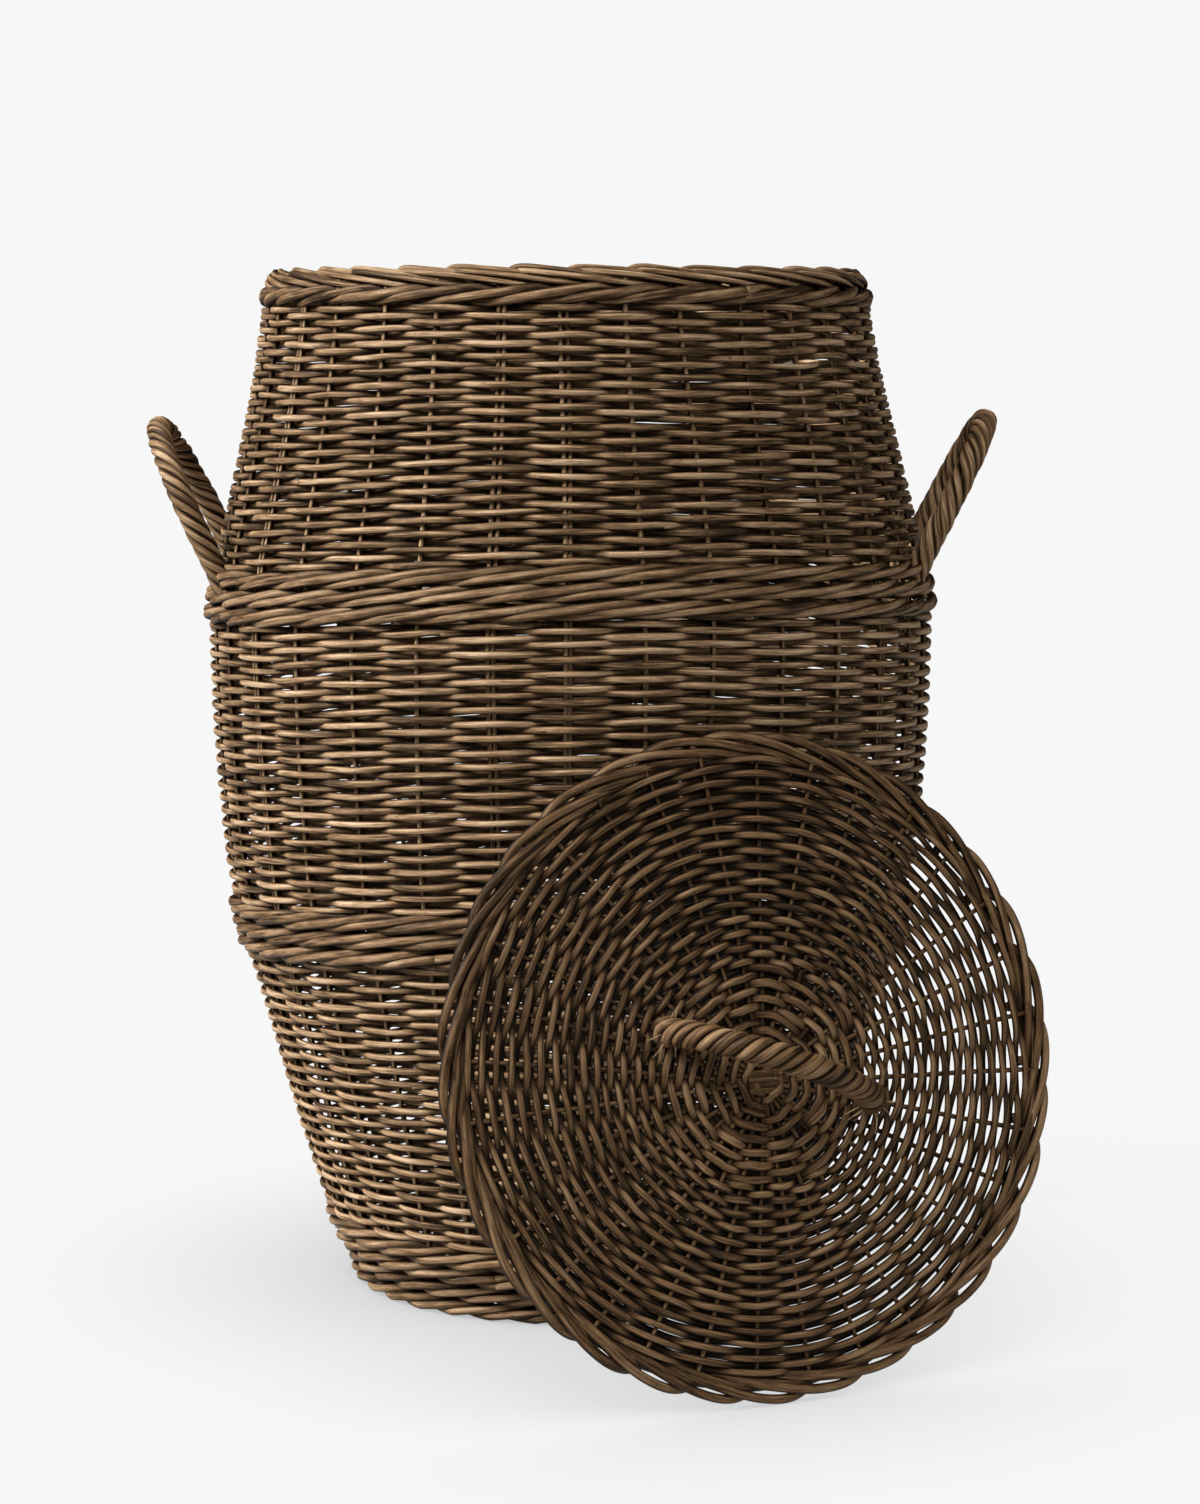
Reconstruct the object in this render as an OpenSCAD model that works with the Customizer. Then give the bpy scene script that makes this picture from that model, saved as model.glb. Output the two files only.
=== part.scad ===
// Barrel-shaped laundry hamper woven from rattan, with two ear handles and a
// round woven lid that stands on the floor and leans against the hamper.
// Millimetres, +Z up. The origin is the centre of the foot, on the floor, and
// the front of the hamper faces -Y.

/* [Hamper] */
// Height from the floor to the top of the rim
hamper_h = 680; // [670:1:700]
// Radius of the wall where it is widest
belly_r = 244; // [240:1:248]
// Radius of the wall just below the rim
neck_r = 204; // [200:1:207]
// Radius of the foot where it meets the floor
foot_r = 129; // [126:1:136]
// Number of upright stakes that the wall is woven on
stake_count = 32; // [24:2:40]
// Diameter of one upright stake
stake_d = 3.6; // [3:0.1:4]
// Thickness of the woven wall
wall_t = 9; // [8:0.5:10]

/* [Weave] */
// Height of one row of weaving
row_h = 4.3; // [3.8:0.1:5]
// Depth of the groove between two rows of weaving
row_groove = 1.2; // [0.6:0.1:1.6]
// Height of one row of the thick bands
band_row_h = 11.4; // [10:0.2:13]
// Depth of the groove between two rows of a band
band_groove = 2.4; // [1.6:0.1:3]
// Distance that the bands stand out from the weave
band_proud = 4.5; // [3:0.5:6]
// Thickness of the bands and of the foot
band_t = 15; // [13:0.5:17]

/* [Ear handles] */
// Distance between the two legs of one ear handle
ear_span = 146; // [120:1:155]
// Length from the root of an ear handle to its highest point, along its lean
ear_rise = 112; // [105:1:118]
// Angle by which the ear handles lean outwards
ear_lean = 25; // [18:0.5:28]
// Radius of the wrapped rope of an ear handle
ear_rope_r = 7.8; // [7:0.1:8.5]
// Height by which the right ear handle sits over the left one
ear_uneven = 6; // [0:1:8]

/* [Lid] */
// Outer radius of the lid
lid_r = 204; // [202:1:206]
// Thickness of the lid's weave
lid_t = 11; // [10:0.5:12]
// Height by which the middle of the lid is domed
lid_dome = 12; // [8:1:16]
// Radius of the lid's rolled border
lid_border_r = 7; // [6:0.5:8]
// Angle by which the leaning lid is tipped back from upright
lid_lean = 12.5; // [10:0.1:16]
// Angle of the leaning lid around the hamper, from the front towards the right
lid_turn = 22.4; // [0:0.1:40]
// Distance between the two feet of the lid's handle
lid_handle_span = 148; // [130:1:155]
// Height of the lid's handle over the lid, to the middle of the rope
lid_handle_rise = 45; // [40:1:50]
// Radius of the wrapped rope of the lid's handle
lid_rope_r = 7.2; // [6.5:0.1:8]
// Angle of the handle in the plane of the lid
lid_handle_turn = -23; // [-40:1:0]

/* [Hidden] */
round_fn = 96;
rod_fn = 20;

// Heights of the joins between the sections of the wall
foot_rows = 4;
foot_top = 50;
band_rows = 3;
lower_band_z = 240;
lower_band_top = lower_band_z + band_rows * band_row_h;
upper_band_z = 460;
upper_band_top = upper_band_z + band_rows * band_row_h;
rim_border_h = 10;
rim_band_h = 12;
rim_proud = 0.5;
rim_border_in = 4;
rim_border_z = hamper_h - rim_border_h;
rim_band_z = rim_border_z - rim_band_h;

// The base sits a little above the floor, inside the foot
base_z = 14;
base_t = 11;
cross_r = 24;
spoke_d = 3.6;
cross_rod_d = 4;
cross_rod_pitch = 8;
cross_gap = 0.1;
spoke_start = 1.7 * cross_r;
spoke_sink = 1;
bow_r = 4;
bow_extra = 6;
bow_extra_turn = 5;

// How far the wall has flared or drawn in at a few heights
toe_z = [14, 30];
toe_flare = [21, 32];
foot_flare = 40;
waist_z = [216, 261];
waist_draw = [26, 13];
belly_z = [340, 420];
belly_draw = 4;
shoulder_z = 520;
shoulder_draw = 11;
handle_drop = 18;
rim_draw = 1;

// Radius of the wall's outer face at a few heights, joined by a smooth curve
wall_knots = [
    [0, foot_r],
    [toe_z[0], foot_r + toe_flare[0]],
    [toe_z[1], foot_r + toe_flare[1]],
    [foot_top, foot_r + foot_flare],
    [waist_z[0], belly_r - waist_draw[0]],
    [waist_z[1], belly_r - waist_draw[1]],
    [belly_z[0], belly_r - belly_draw],
    [belly_z[1], belly_r],
    [upper_band_top - handle_drop, belly_r - rim_draw / 2],
    [shoulder_z, belly_r - shoulder_draw],
    [rim_band_z, neck_r],
    [hamper_h, neck_r - rim_draw]
];
last_knot = len(wall_knots) - 1;

function chord(i) = let (step = wall_knots[i + 1] - wall_knots[i]) step[1] / step[0];
function slope(i) =
    i == 0 ? chord(0)
    : i == last_knot ? chord(last_knot - 1)
    : (chord(i - 1) + chord(i)) / 2;
function span_of(z, i = 0) = i == last_knot - 1 || z < wall_knots[i + 1][0] ? i : span_of(z, i + 1);
function hermite(a, b, ma, mb, h, t) =
    (2 * t ^ 3 - 3 * t ^ 2 + 1) * a + (t ^ 3 - 2 * t ^ 2 + t) * h * ma
    + (3 * t ^ 2 - 2 * t ^ 3) * b + (t ^ 3 - t ^ 2) * h * mb;
function wall_r_in(z, i) = let (h = wall_knots[i + 1][0] - wall_knots[i][0])
    hermite(wall_knots[i][1], wall_knots[i + 1][1], slope(i), slope(i + 1), h, (z - wall_knots[i][0]) / h);
function wall_r(z) = wall_r_in(z, span_of(z));

// Height of the lid's middle surface over the plane of its border
function lid_z(r) = lid_dome * (1 - (r / lid_r) ^ 2);

// The lid stands on its edge, with its top edge just clear of the wall
lid_ring_r = lid_r - lid_border_r;
lid_centre_z = lid_ring_r * cos(lid_lean) + lid_border_r;
lid_gap = 1.2;
lid_touch_z = lid_centre_z + lid_ring_r * cos(lid_lean);
lid_reach = lid_ring_r * sin(lid_lean) + lid_border_r + wall_r(lid_touch_z) + lid_gap;

ear_arch_r = ear_span / 2;
ear_leg = ear_rise - ear_arch_r;
ear_root_z = upper_band_top - handle_drop;
ear_root_x = belly_r - 11;
ear_wrap_start = 8;

lid_arch_r = ((lid_handle_span / 2) ^ 2 + lid_handle_rise ^ 2) / (2 * lid_handle_rise);
lid_arch_half = asin(lid_handle_span / 2 / lid_arch_r);
lid_root_z = lid_z(lid_handle_span / 2) + lid_t / 2;
lid_arch_z = lid_root_z + lid_handle_rise - lid_arch_r;

rattan = "#6e5a42";
rattan_dark = "#554532";
rattan_pale = "#a8977a";

// A woven wall: a ring that follows the hamper's shape, with one rib per row
module ring_of_rows(z0, z1, rows, groove, proud, thickness, steps) {
    row = (z1 - z0) / rows;
    rib = [for (i = [0:rows - 1], s = [0:steps - 1])
        let (z = z0 + (i + s / steps) * row)
        [wall_r(z) + proud - groove * (1 - sin(180 * s / steps)), z]];
    inner_count = max(3, ceil((z1 - z0) / 25));
    inner = [for (i = [inner_count:-1:0])
        let (z = z0 + (z1 - z0) * i / inner_count)
        [wall_r(z) + proud - thickness, z]];
    rotate_extrude($fn = round_fn)
        polygon(concat(rib, [[wall_r(z1) + proud - groove, z1]], inner));
}

module weave_section(z0, z1) {
    color(rattan) ring_of_rows(z0, z1, round((z1 - z0) / row_h), row_groove, 0, wall_t, 2);
}

module band_section(z0, z1, rows, proud = band_proud) {
    color(rattan) ring_of_rows(z0, z1, rows, band_groove, proud, band_t, 6);
}

// A round rod between two points
module rod(a, b, r) {
    d = b - a;
    translate(a)
        rotate([0, acos(d.z / norm(d)), atan2(d.y, d.x)])
            cylinder(h = norm(d), r = r, $fn = rod_fn);
}

// Four rods one way over four rods the other way, as the middle of a round weave
module cross_of_rods(length) {
    layer = (cross_rod_d + cross_gap) / 2;
    for (i = [-1.5:1.5]) {
        translate([i * cross_rod_pitch, 0, -layer])
            rotate([90, 0, 0]) cylinder(h = length, d = cross_rod_d, center = true, $fn = rod_fn);
        translate([0, i * cross_rod_pitch, layer])
            rotate([0, 90, 0]) cylinder(h = length, d = cross_rod_d, center = true, $fn = rod_fn);
    }
}

module base_cross() {
    color(rattan_dark) translate([0, 0, base_z + base_t / 2]) cross_of_rods(3 * cross_r);
}

module base_spokes() {
    reach = wall_r(base_z) - 6;
    color(rattan_dark) for (i = [0:stake_count - 1])
        rotate([0, 0, (i + 0.5) * 360 / stake_count])
            rod([spoke_start, 0, base_z + base_t / 2], [reach, 0, base_z + base_t / 2], spoke_d / 2);
}

// One ribbed face of a round weave, from the middle out to the edge
function plate_ribs(r0, r1, face_z, side) =
    let (rows = round((r1 - r0) / row_h), row = (r1 - r0) / rows)
    [for (i = [0:rows * 2]) [r0 + i * row / 2, face_z + side * (i % 2 == 0 ? 0 : row_groove)]];

module base_weave() {
    edge = wall_r(base_z) + band_proud - band_t + 5;
    low = plate_ribs(cross_r, edge, base_z + row_groove, -1);
    high = plate_ribs(cross_r, edge, base_z + base_t - row_groove, 1);
    color(rattan) rotate_extrude($fn = round_fn)
        polygon(concat(low, [for (i = [len(high) - 1:-1:0]) high[i]]));
}

module foot_band() {
    band_section(0, foot_top, foot_rows);
}

// One stake, bent to the curve of the wall, swept along its middle line
module stake() {
    sides = 6;
    bends = 13;
    low = base_z + 4;
    high = rim_border_z - 2;
    path = [for (i = [0:bends]) let (z = low + (high - low) * i / bends)
        [wall_r(z) - wall_t / 2, z]];
    rings = len(path);
    points = [for (p = path, k = [0:sides - 1])
        [p.x + stake_d / 2 * cos(k * 360 / sides), stake_d / 2 * sin(k * 360 / sides), p.y]];
    walls = [for (i = [0:rings - 2], k = [0:sides - 1]) let (n = (k + 1) % sides)
        [i * sides + k, (i + 1) * sides + k, (i + 1) * sides + n, i * sides + n]];
    bottom = [[for (k = [0:sides - 1]) k]];
    top = [[for (k = [sides - 1:-1:0]) (rings - 1) * sides + k]];
    polyhedron(points, concat(walls, bottom, top));
}

module side_stakes() {
    color(rattan_dark) for (i = [0:stake_count - 1])
        rotate([0, 0, i * 360 / stake_count]) stake();
}

module lower_weave() { weave_section(foot_top, lower_band_z); }
module lower_band() { band_section(lower_band_z, lower_band_top, band_rows); }
module middle_weave() { weave_section(lower_band_top, upper_band_z); }
module upper_band() { band_section(upper_band_z, upper_band_top, band_rows); }
module upper_weave() { weave_section(upper_band_top, rim_band_z); }
module rim_band() { band_section(rim_band_z, rim_border_z, 1, rim_proud); }

// The rolled edge at the top, with a flat land where the lid sits
module rim_border() {
    outer = neck_r - rim_border_in;
    width = 15;
    bevel = 3.5;
    corner = 1.5;
    top = hamper_h;
    color(rattan) rotate_extrude($fn = round_fn) polygon([
        [outer - corner, rim_border_z],
        [outer, rim_border_z + bevel],
        [outer, top - bevel],
        [outer - corner, top - corner],
        [outer - bevel, top],
        [outer - width + bevel, top],
        [outer - width, top - bevel],
        [outer - width, rim_border_z]
    ]);
}

// Places a right-hand ear handle, with its root at the origin and its legs along Z
module ear_place() {
    translate([ear_root_x, 0, ear_root_z]) rotate([0, ear_lean, 0]) children();
}

// An upside-down U in the YZ plane, as a rod of radius r, starting at the height s
module ear_arch(r, s) {
    for (side = [-1, 1])
        translate([0, side * ear_arch_r, s]) cylinder(h = ear_leg - s, r = r, $fn = rod_fn);
    translate([0, 0, ear_leg]) rotate([90, 0, 90])
        rotate_extrude(angle = 180, $fn = round_fn) translate([ear_arch_r, 0]) circle(r, $fn = rod_fn);
}

module ear_bow() {
    color(rattan_dark) ear_place() ear_arch(bow_r, -bow_extra);
}

module ear_wrap() {
    color(rattan) ear_place() difference() {
        ear_arch(ear_rope_r, ear_wrap_start);
        ear_arch(bow_r, -bow_extra);
    }
}

module right_handle_bow() { translate([0, 0, ear_uneven]) ear_bow(); }
module right_handle_wrap() { translate([0, 0, ear_uneven]) ear_wrap(); }
module left_handle_bow() { mirror([1, 0, 0]) ear_bow(); }
module left_handle_wrap() { mirror([1, 0, 0]) ear_wrap(); }

// Stands the lid on its edge, leaning against the hamper
module lid_place() {
    translate([lid_reach * sin(lid_turn), -lid_reach * cos(lid_turn), lid_centre_z])
        rotate([90 - lid_lean, 0, lid_turn]) children();
}

module lid_cross() {
    color(rattan_dark) lid_place() translate([0, 0, lid_z(0)]) cross_of_rods(3 * cross_r);
}

module lid_spokes() {
    color(rattan_dark) lid_place() for (i = [0:stake_count - 1])
        rotate([0, 0, (i + 0.5) * 360 / stake_count])
            rod([spoke_start, 0, lid_z(spoke_start) - spoke_sink],
                [lid_ring_r - 2, 0, spoke_sink], spoke_d / 2);
}

module lid_weave() {
    edge = lid_r - 2 * lid_border_r;
    rows = round((edge - cross_r) / row_h);
    row = (edge - cross_r) / rows;
    half = lid_t / 2;
    face = [for (i = [0:rows * 2]) let (r = cross_r + i * row / 2, dip = i % 2 == 0 ? row_groove : 0)
        [r, lid_z(r), half - dip]];
    color(rattan) lid_place() rotate_extrude($fn = round_fn) polygon(concat(
        [for (p = face) [p.x, p.y - p.z]],
        [for (i = [len(face) - 1:-1:0]) [face[i].x, face[i].y + face[i].z]]
    ));
}

// The rolled border, seated on the weave's outer edge
module lid_border() {
    edge = lid_r - 2 * lid_border_r;
    color(rattan) lid_place() difference() {
        rotate_extrude($fn = round_fn) translate([lid_ring_r, 0]) circle(lid_border_r, $fn = rod_fn);
        translate([0, 0, -2 * lid_border_r]) cylinder(h = 4 * lid_border_r, r = edge, $fn = round_fn);
    }
}

// Stands the lid's handle on the lid, along its own direction
module lid_handle_place() {
    lid_place() rotate([0, 0, lid_handle_turn]) translate([0, 0, lid_arch_z]) children();
}

// An arch in the XZ plane, as a rod of radius r, with extra degrees at both ends
module lid_arch(r, extra) {
    rotate([90, 0, 0])
        rotate([0, 0, 90 - lid_arch_half - extra])
            rotate_extrude(angle = 2 * (lid_arch_half + extra), $fn = round_fn)
                translate([lid_arch_r, 0]) circle(r, $fn = rod_fn);
}

module lid_handle_bow() {
    color(rattan_dark) lid_handle_place() lid_arch(bow_r, bow_extra_turn);
}

module lid_handle_wrap() {
    color(rattan) lid_handle_place() difference() {
        lid_arch(lid_rope_r, 0);
        lid_arch(bow_r, bow_extra_turn);
    }
}

// A short tie around each foot of the lid's handle
module lid_handle_lashings() {
    tie_r = lid_rope_r + 2;
    tie_h = 7;
    tie_turn = lid_arch_half - 2;
    color(rattan_pale) lid_handle_place() for (side = [-1, 1])
        rotate([0, side * tie_turn, 0]) translate([0, 0, lid_arch_r])
            rotate([0, side * 90, 0]) difference() {
                translate([0, 0, -tie_h]) cylinder(h = tie_h, r = tie_r, $fn = rod_fn);
                translate([lid_arch_r * side, 0, 0]) rotate([90, 0, 0])
                    rotate_extrude($fn = round_fn)
                        translate([lid_arch_r, 0]) circle(lid_rope_r, $fn = rod_fn);
            }
}

base_cross();
base_spokes();
base_weave();
foot_band();
side_stakes();
lower_weave();
lower_band();
middle_weave();
upper_band();
upper_weave();
rim_band();
rim_border();
left_handle_bow();
left_handle_wrap();
right_handle_bow();
right_handle_wrap();
lid_cross();
lid_spokes();
lid_weave();
lid_border();
lid_handle_bow();
lid_handle_wrap();
lid_handle_lashings();
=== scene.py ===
"""Looks of a woven rattan laundry hamper and its loose lid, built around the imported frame.

Every rod of the weave is a swept tube, in metres, in the frame's own axes.
"""

import math

import bpy
import numpy as np
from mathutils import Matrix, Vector


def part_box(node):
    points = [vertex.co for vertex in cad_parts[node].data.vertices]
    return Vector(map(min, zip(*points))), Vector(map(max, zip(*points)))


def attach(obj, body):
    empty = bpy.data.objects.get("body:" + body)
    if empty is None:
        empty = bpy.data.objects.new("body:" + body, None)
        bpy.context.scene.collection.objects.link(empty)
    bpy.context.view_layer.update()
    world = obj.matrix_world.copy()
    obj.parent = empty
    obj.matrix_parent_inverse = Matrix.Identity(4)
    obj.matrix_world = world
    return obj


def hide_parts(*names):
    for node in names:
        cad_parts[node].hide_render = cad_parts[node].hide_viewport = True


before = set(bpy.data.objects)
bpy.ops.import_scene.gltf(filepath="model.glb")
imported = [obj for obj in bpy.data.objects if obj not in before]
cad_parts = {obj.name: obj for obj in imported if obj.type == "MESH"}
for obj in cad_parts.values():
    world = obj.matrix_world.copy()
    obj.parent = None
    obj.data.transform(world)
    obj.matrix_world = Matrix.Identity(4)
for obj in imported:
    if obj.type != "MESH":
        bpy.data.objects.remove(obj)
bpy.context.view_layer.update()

# ---------------------------------------------------------------- driving sizes

STAKES = 32  # upright stakes in the wall, and spokes in the lid
STAKE_R = 0.0018
ROW_H = 0.0044  # from one row of weaving to the next
WEAVER_R = 0.00235
WALE_R = 0.0029  # the thicker rods of the bands
WALE_TURNS = 11  # turns of the three wale rods round the hamper, about one per three stakes
WALE_DEPTH = 0.0044  # how far a wale rod swings to either side of the stakes
BORDER_ROD_R = 0.0021  # the paired rods of the rim's border
BAND_PROUD = 0.0045  # how far the foot's band stands out from the line of the wall
STAKE_IN = 0.0054  # from the wall's outer face to the middle of its stakes
STEPS = 8  # points along a weaver from one stake to the next
SIDES = 8  # sides of a rod
FULL_TURN = 2 * math.pi
STAKE_TURN = FULL_TURN / STAKES

EAR_ROPE = {"radius": 0.0080, "strands": 6, "lay": 0.060}
LID_ROPE = {"radius": 0.0086, "strands": 4, "lay": 0.033}
EAR_LEAN = {1: math.radians(26.5), -1: math.radians(25.5)}  # right and left
EAR_SPAN = 0.146
EAR_RISE = 0.112
EAR_DROP = 0.018  # from the top of the upper band down to the ears' roots
EAR_UNEVEN = {1: 0.006, -1: 0.0}  # the right ear sits a little higher
EAR_ASKEW = {1: 0.045, -1: 0.022}  # how far an ear's back leg stands further out, over the way to it
TIE_R = 0.0088  # radius of the strips wound round the lid handle's foot
LID_HANDLE_TURN = math.radians(-21.5)
LID_HANDLE_SPAN = 0.139
LID_HANDLE_SHIFT = 0.0045  # the handle's middle lies a little towards its lower end
LID_HANDLE_RISE = 0.045
LID_HANDLE_DIVE = 0.009  # how deep its ends go into the lid


# ---------------------------------------------------------------- rods as swept tubes


def unit(v):
    return v / np.maximum(np.linalg.norm(v, axis=-1, keepdims=True), 1e-12)


def sweep(path, outward, half_width, half_depth, sides=SIDES):
    """Tubes along path (rods, points, 3), wider across than deep, as (rods, points, sides, 3)."""
    tangent = unit(np.gradient(path, axis=1))
    across = unit(np.cross(tangent, outward))
    out = np.cross(across, tangent)
    turn = np.arange(sides) * FULL_TURN / sides
    shape = path.shape[:2]
    wide = np.broadcast_to(half_width, shape)[:, :, None, None]
    deep = np.broadcast_to(half_depth, shape)[:, :, None, None]
    ring = np.cos(turn)[:, None] * out[:, :, None] * deep + np.sin(turn)[:, None] * across[:, :, None] * wide
    return path[:, :, None] + ring


def lengths_along(path):
    step = np.linalg.norm(np.diff(path, axis=1), axis=-1)
    return np.concatenate([np.zeros((len(path), 1)), np.cumsum(step, axis=1)], axis=1)


class Rods:
    """Collects tubes, and makes one mesh of them with strand coordinates for the grain."""

    def __init__(self, name, seed):
        self.name = name
        self.rng = np.random.default_rng(seed)
        self.verts, self.loops, self.totals, self.uvs, self.tone, self.worn = [], [], [], [], [], []
        self.count = 0

    def add(self, path, outward, half_width, half_depth, sides=SIDES, worn=0.5):
        """Adds tubes, with a value per point that is 1 where a rod stands out on the outward side and -1 on
        the other side; the materials paint shade where a rod lies back.
        """
        path = np.asarray(path, float)
        outward = np.broadcast_to(outward, path.shape)
        rods, points = path.shape[:2]
        tube = sweep(path, outward, half_width, half_depth, sides)
        index = self.count + np.arange(rods * points * sides).reshape(rods, points, sides)
        right = np.roll(index, -1, axis=2)
        quads = np.stack([index[:, :-1], right[:, :-1], right[:, 1:], index[:, 1:]], axis=-1)
        along = np.broadcast_to(lengths_along(path)[:, :, None], index.shape)
        low, high = np.arange(sides) / sides, np.arange(1, sides + 1) / sides
        u = np.stack([along[:, :-1], along[:, :-1], along[:, 1:], along[:, 1:]], axis=-1)
        v = np.broadcast_to(np.stack([low, high, high, low], axis=-1), u.shape)
        caps = np.concatenate([index[:, 0, ::-1], index[:, -1]]).reshape(-1, sides)
        cap_u = np.concatenate([along[:, 0], along[:, -1]])
        cap_v = np.broadcast_to(low, cap_u.shape)
        self.verts.append(tube.reshape(-1, 3))
        self.loops += [quads.reshape(-1), caps.reshape(-1)]
        self.totals += [np.full(quads.size // 4, 4), np.full(len(caps), sides)]
        self.uvs += [np.stack([u, v], -1).reshape(-1, 2), np.stack([cap_u, cap_v], -1).reshape(-1, 2)]
        self.tone.append(np.repeat(self.rng.random(rods), points * sides))
        self.worn.append(np.repeat(np.broadcast_to(worn, (rods, points)).ravel(), sides))
        self.count += index.size

    def piece(self, body, material, slot, node):
        """Makes the Blender object, and hides the CAD node it stands for."""
        verts, loops = np.concatenate(self.verts), np.concatenate(self.loops)
        totals, uvs = np.concatenate(self.totals), np.concatenate(self.uvs)
        mesh = bpy.data.meshes.new(self.name)
        mesh.vertices.add(len(verts))
        mesh.vertices.foreach_set("co", verts.ravel())
        mesh.loops.add(len(loops))
        mesh.loops.foreach_set("vertex_index", loops.astype(np.int32))
        mesh.polygons.add(len(totals))
        starts = np.concatenate([[0], np.cumsum(totals)[:-1]])
        mesh.polygons.foreach_set("loop_start", starts.astype(np.int32))
        mesh.polygons.foreach_set("use_smooth", totals == 4)
        mesh.uv_layers.new(name="strand").data.foreach_set("uv", uvs.astype(np.float32).ravel())
        for name, values in (("tone", self.tone), ("worn", self.worn)):
            attribute = mesh.attributes.new(name, "FLOAT", "POINT")
            attribute.data.foreach_set("value", np.concatenate(values))
        mesh.update(calc_edges=True)
        mesh.validate()
        mesh.materials.append(material)
        piece = bpy.data.objects.new(self.name, mesh)
        bpy.context.scene.collection.objects.link(piece)
        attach(piece, body)
        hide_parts(node)
        return piece


def smooth_noise(rng, rows, length, knots, size):
    """Slow random waves, one row each, that close on themselves."""
    values = rng.normal(0, size, (rows, knots))
    at = np.linspace(0, knots, length) % knots
    low = np.floor(at).astype(int) % knots
    t = at - np.floor(at)
    t = t * t * (3 - 2 * t)
    return values[:, low] * (1 - t) + values[:, (low + 1) % knots] * t


def catmull(points, count):
    """A smooth curve through points (k, d) as count points, evenly spaced in the parameter."""
    points = np.asarray(points, float)
    padded = np.concatenate([[2 * points[0] - points[1]], points, [2 * points[-1] - points[-2]]])
    at = np.linspace(0, len(points) - 1, count)
    i = np.minimum(at.astype(int), len(points) - 2)
    t = (at - i)[:, None]
    a, b, c, d = (padded[i + k] for k in range(4))
    return 0.5 * (2 * b + (c - a) * t + (2 * a - 5 * b + 4 * c - d) * t**2 + (3 * b - 3 * c + d - a) * t**3)


# ---------------------------------------------------------------- the hamper's shape, from the frame


def node_points(name):
    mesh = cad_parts[name].data
    points = np.empty(len(mesh.vertices) * 3)
    mesh.vertices.foreach_get("co", points)
    world = np.array(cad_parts[name].matrix_world)
    return points.reshape(-1, 3) @ world[:3, :3].T + world[:3, 3]


def levels(name):
    low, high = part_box(name)
    return low[2], high[2]


def outer_profile():
    """Heights and radii of the wall's outer face, read from the woven CAD sections."""
    heights, radii = [], []
    sections = {"foot_band": BAND_PROUD, "lower_weave": 0, "middle_weave": 0, "upper_weave": 0}
    for name, proud in sections.items():
        p = node_points(name)
        z0, z1 = levels(name)
        edges = np.linspace(z0, z1, 9 if proud == 0 else 5)
        r = np.hypot(p[:, 0], p[:, 1])
        for a, b in zip(edges[:-1], edges[1:], strict=True):
            inside = (p[:, 2] >= a - 0.003) & (p[:, 2] <= b + 0.003)
            top = np.argmax(np.where(inside, r - abs(p[:, 2] - (a + b) / 2) * 0.3, 0))
            heights.append(p[top, 2])
            radii.append(r[top] - proud)
    heights.append(levels("rim_border")[1])
    radii.append(radii[-1] - 0.004)
    order = np.argsort(heights)
    return np.array(heights)[order], np.array(radii)[order]


PROFILE_Z, PROFILE_R = outer_profile()


def wall_r(z):
    """Radius of the wall's outer face at height z, slightly smoothed."""
    spread = 0.008
    return sum(np.interp(z + k * spread, PROFILE_Z, PROFILE_R) for k in (-1, 0, 1)) / 3


TOP_LEAN = 0.003  # how far the hand-made top leans to the left


def ring_points(angle, radius, z):
    lean = TOP_LEAN * np.clip((z - 0.45) / 0.2, 0, 1) ** 2
    return np.stack([radius * np.cos(angle) - lean, radius * np.sin(angle), z + 0 * radius], axis=-1)


def radial(points):
    return unit(points * (1, 1, 0))


def peaked(wave_value, power=0.8):
    """A wave with broader peaks."""
    return np.sign(wave_value) * np.abs(wave_value) ** power


shape_rng = np.random.default_rng(7)
STAKE_OFFSET = shape_rng.normal(0, 0.035, STAKES)
STAKE_SWAY = shape_rng.normal(0, 0.035, STAKES)
STAKE_PHASE = shape_rng.uniform(0, FULL_TURN, STAKES)
SWAY_LENGTH = 0.35
# A gentle waviness that all rows share
WAVE_SIZE = 0.0009
WAVE_PHASES = shape_rng.uniform(0, FULL_TURN, 4)


def stake_place(i, z):
    """Angle of stake i at height z, in stakes: straight up, but for a little sway."""
    k = np.asarray(i) % STAKES
    return i + STAKE_OFFSET[k] + STAKE_SWAY[k] * np.sin(FULL_TURN * z / SWAY_LENGTH + STAKE_PHASE[k])


def weaver_angle(s, z):
    """Angle of a weaver that has passed s stakes, so that it bends round the real stakes."""
    i = np.floor(s).astype(int)
    t = s - i
    place = stake_place(i, z) * (1 - t) + stake_place(i + 1, z) * t
    return place * STAKE_TURN


def wave(angle, z):
    """How far rows rise and fall together, in metres."""
    a, b, c, d = WAVE_PHASES
    slow = np.sin(3 * angle + 9 * z + a) + 0.7 * np.sin(5 * angle - 14 * z + b)
    quick = 0.5 * np.sin(9 * angle + 31 * z + c) + 0.4 * np.sin(14 * angle + 47 * z + d)
    return WAVE_SIZE * (slow + quick) / 1.6


# Rows run higher at the front and back than at the ears, and rise a little to the right
ARCH_Z = (0.06, 0.257, 0.477, 0.655)
ARCH_SIZE = (0.0, 0.010, 0.0065, 0.0)
TILT_SIZE = (0.0, 0.0, 0.004, 0.0)


def arch(angle, z):
    """How far a row at height z lies over its mean height, in metres."""
    tilt = np.interp(z, ARCH_Z, TILT_SIZE) * np.cos(angle)
    return tilt - np.interp(z, ARCH_Z, ARCH_SIZE) * np.cos(2 * angle)


def fade(z, z0, z1, edge=0.02):
    """0 at the ends of a section and 1 away from them, so that waves die out at the bands."""
    return np.clip(np.minimum(z - z0, z1 - z) / edge, 0, 1)


# ---------------------------------------------------------------- the hamper's weave


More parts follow.
